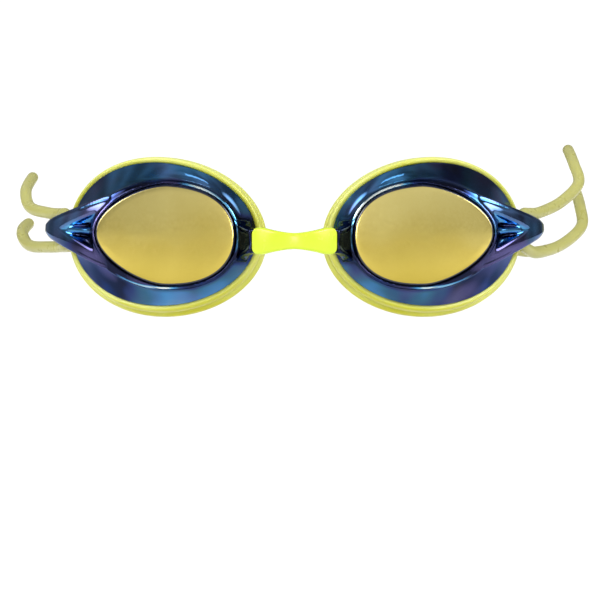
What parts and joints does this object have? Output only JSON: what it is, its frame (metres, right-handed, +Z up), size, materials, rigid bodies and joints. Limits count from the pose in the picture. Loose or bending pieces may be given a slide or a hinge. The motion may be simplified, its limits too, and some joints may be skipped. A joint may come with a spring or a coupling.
{
  "type": "swim goggles",
  "caption": "Racing swim goggles: two mirrored eyecups with soft gaskets, a flexible pinned nose bridge and a round double strap with a rear clip.",
  "frame": {"origin": "on the face, midway between the eyes, at the height of the lens centres: the nose ends of the gaskets' lips lie on its XZ plane", "axes": "+X towards the wearer's left, +Y back towards the head, +Z up; the front faces -Y. The names say left and right as someone who faces the wearer sees them: right is at +X"},
  "size_m": [0.187, 0.1945, 0.054],
  "materials": {
    "lens_mirror": "gold mirror coating on the lens front",
    "eyecup_plastic": "clear blue polycarbonate with a violet and teal sheen",
    "gasket_silicone": "translucent yellow-green silicone, satin",
    "bridge_elastomer": "neon yellow elastomer, satin",
    "strap_silicone": "translucent pale yellow silicone",
    "clip_plastic": "translucent yellow plastic"
  },
  "bodies": {
    "bridge": {"nose_bridge": "bridge_elastomer", "strap_left": "strap_silicone", "strap_right": "strap_silicone"},
    "left_eyecup": {"eyecup_left": "eyecup_plastic", "lens_left": "lens_mirror", "gasket_left": "gasket_silicone"},
    "right_eyecup": {"eyecup_right": "eyecup_plastic", "lens_right": "lens_mirror", "gasket_right": "gasket_silicone"},
    "clip": {"rear_clip": "clip_plastic"}
  },
  "joints": [
    {"name": "left_bridge_flex", "type": "hinge", "parent": "bridge", "child": "left_eyecup", "pos_m": [-0.005, -0.02778, -0.0018], "axis": [0, 0, 1], "range_deg": [-10, 10], "stiffness_Nm_per_rad": 0.03, "deforming": ["nose_bridge", "strap_left"]},
    {"name": "right_bridge_flex", "type": "hinge", "parent": "bridge", "child": "right_eyecup", "pos_m": [0.005, -0.02778, -0.0018], "axis": [0, 0, 1], "range_deg": [-10, 10], "stiffness_Nm_per_rad": 0.03, "deforming": ["nose_bridge", "strap_right"]},
    {"name": "clip_slide", "type": "slide", "parent": "bridge", "child": "clip", "axis": [1, 0, 0], "range_m": [-0.006, 0.006]}
  ]
}
